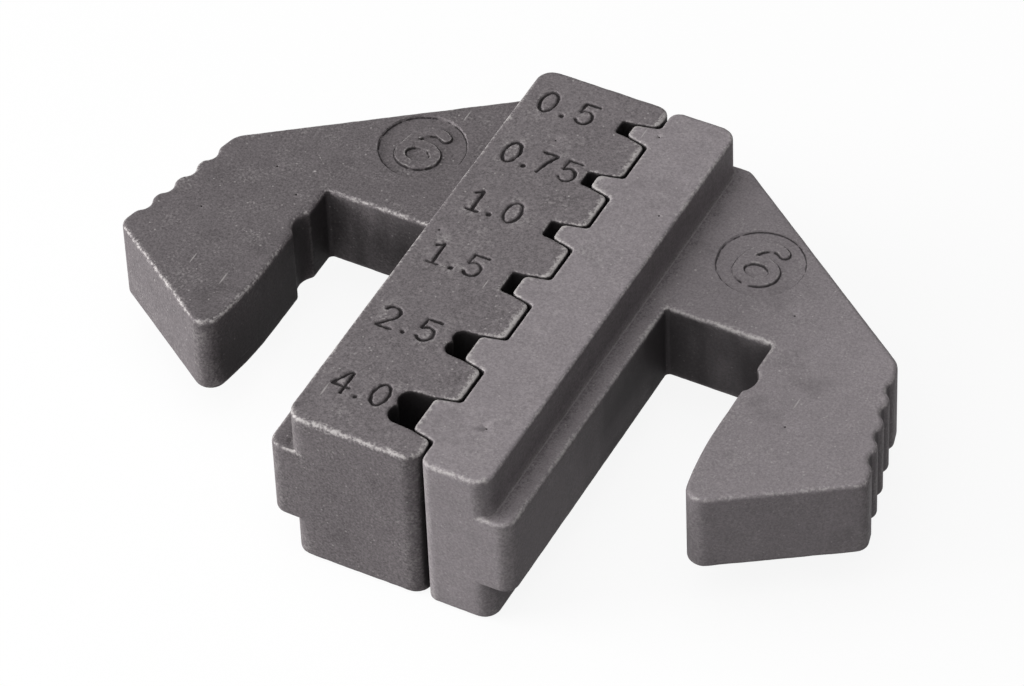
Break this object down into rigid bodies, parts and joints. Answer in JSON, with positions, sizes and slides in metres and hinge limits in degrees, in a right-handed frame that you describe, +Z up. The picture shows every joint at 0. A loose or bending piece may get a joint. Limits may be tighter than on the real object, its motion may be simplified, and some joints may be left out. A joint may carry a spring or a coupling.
{
  "type": "crimp die insert",
  "caption": "Two-piece quick-change crimp die set: a crimper half with graded nests and an anvil half with mating tongues, each with a slotted, finger-grip wing.",
  "frame": {"origin": "middle of the closed pair's bounding box, on the plane of the two blocks' undersides and on the plane that mirrors the two wings", "axes": "+X from the crimper half to the anvil half, +Y along the nests from the largest size to the smallest and away from the pliers' pivot, +Z up through the blocks' thickness"},
  "size_m": [0.053, 0.035, 0.0124],
  "materials": {
    "die_steel": "matt dark grey sintered alloy steel, hardened and lightly oiled, edges rubbed bright"
  },
  "bodies": {
    "crimper": {"crimper_die": "die_steel"},
    "anvil": {"anvil_die": "die_steel"}
  },
  "joints": [
    {"name": "jaw_opening", "type": "hinge", "parent": "crimper", "child": "anvil", "pos_m": [0, -0.0375, 0], "axis": [0, 0, -1], "range_deg": [0, 15]}
  ]
}
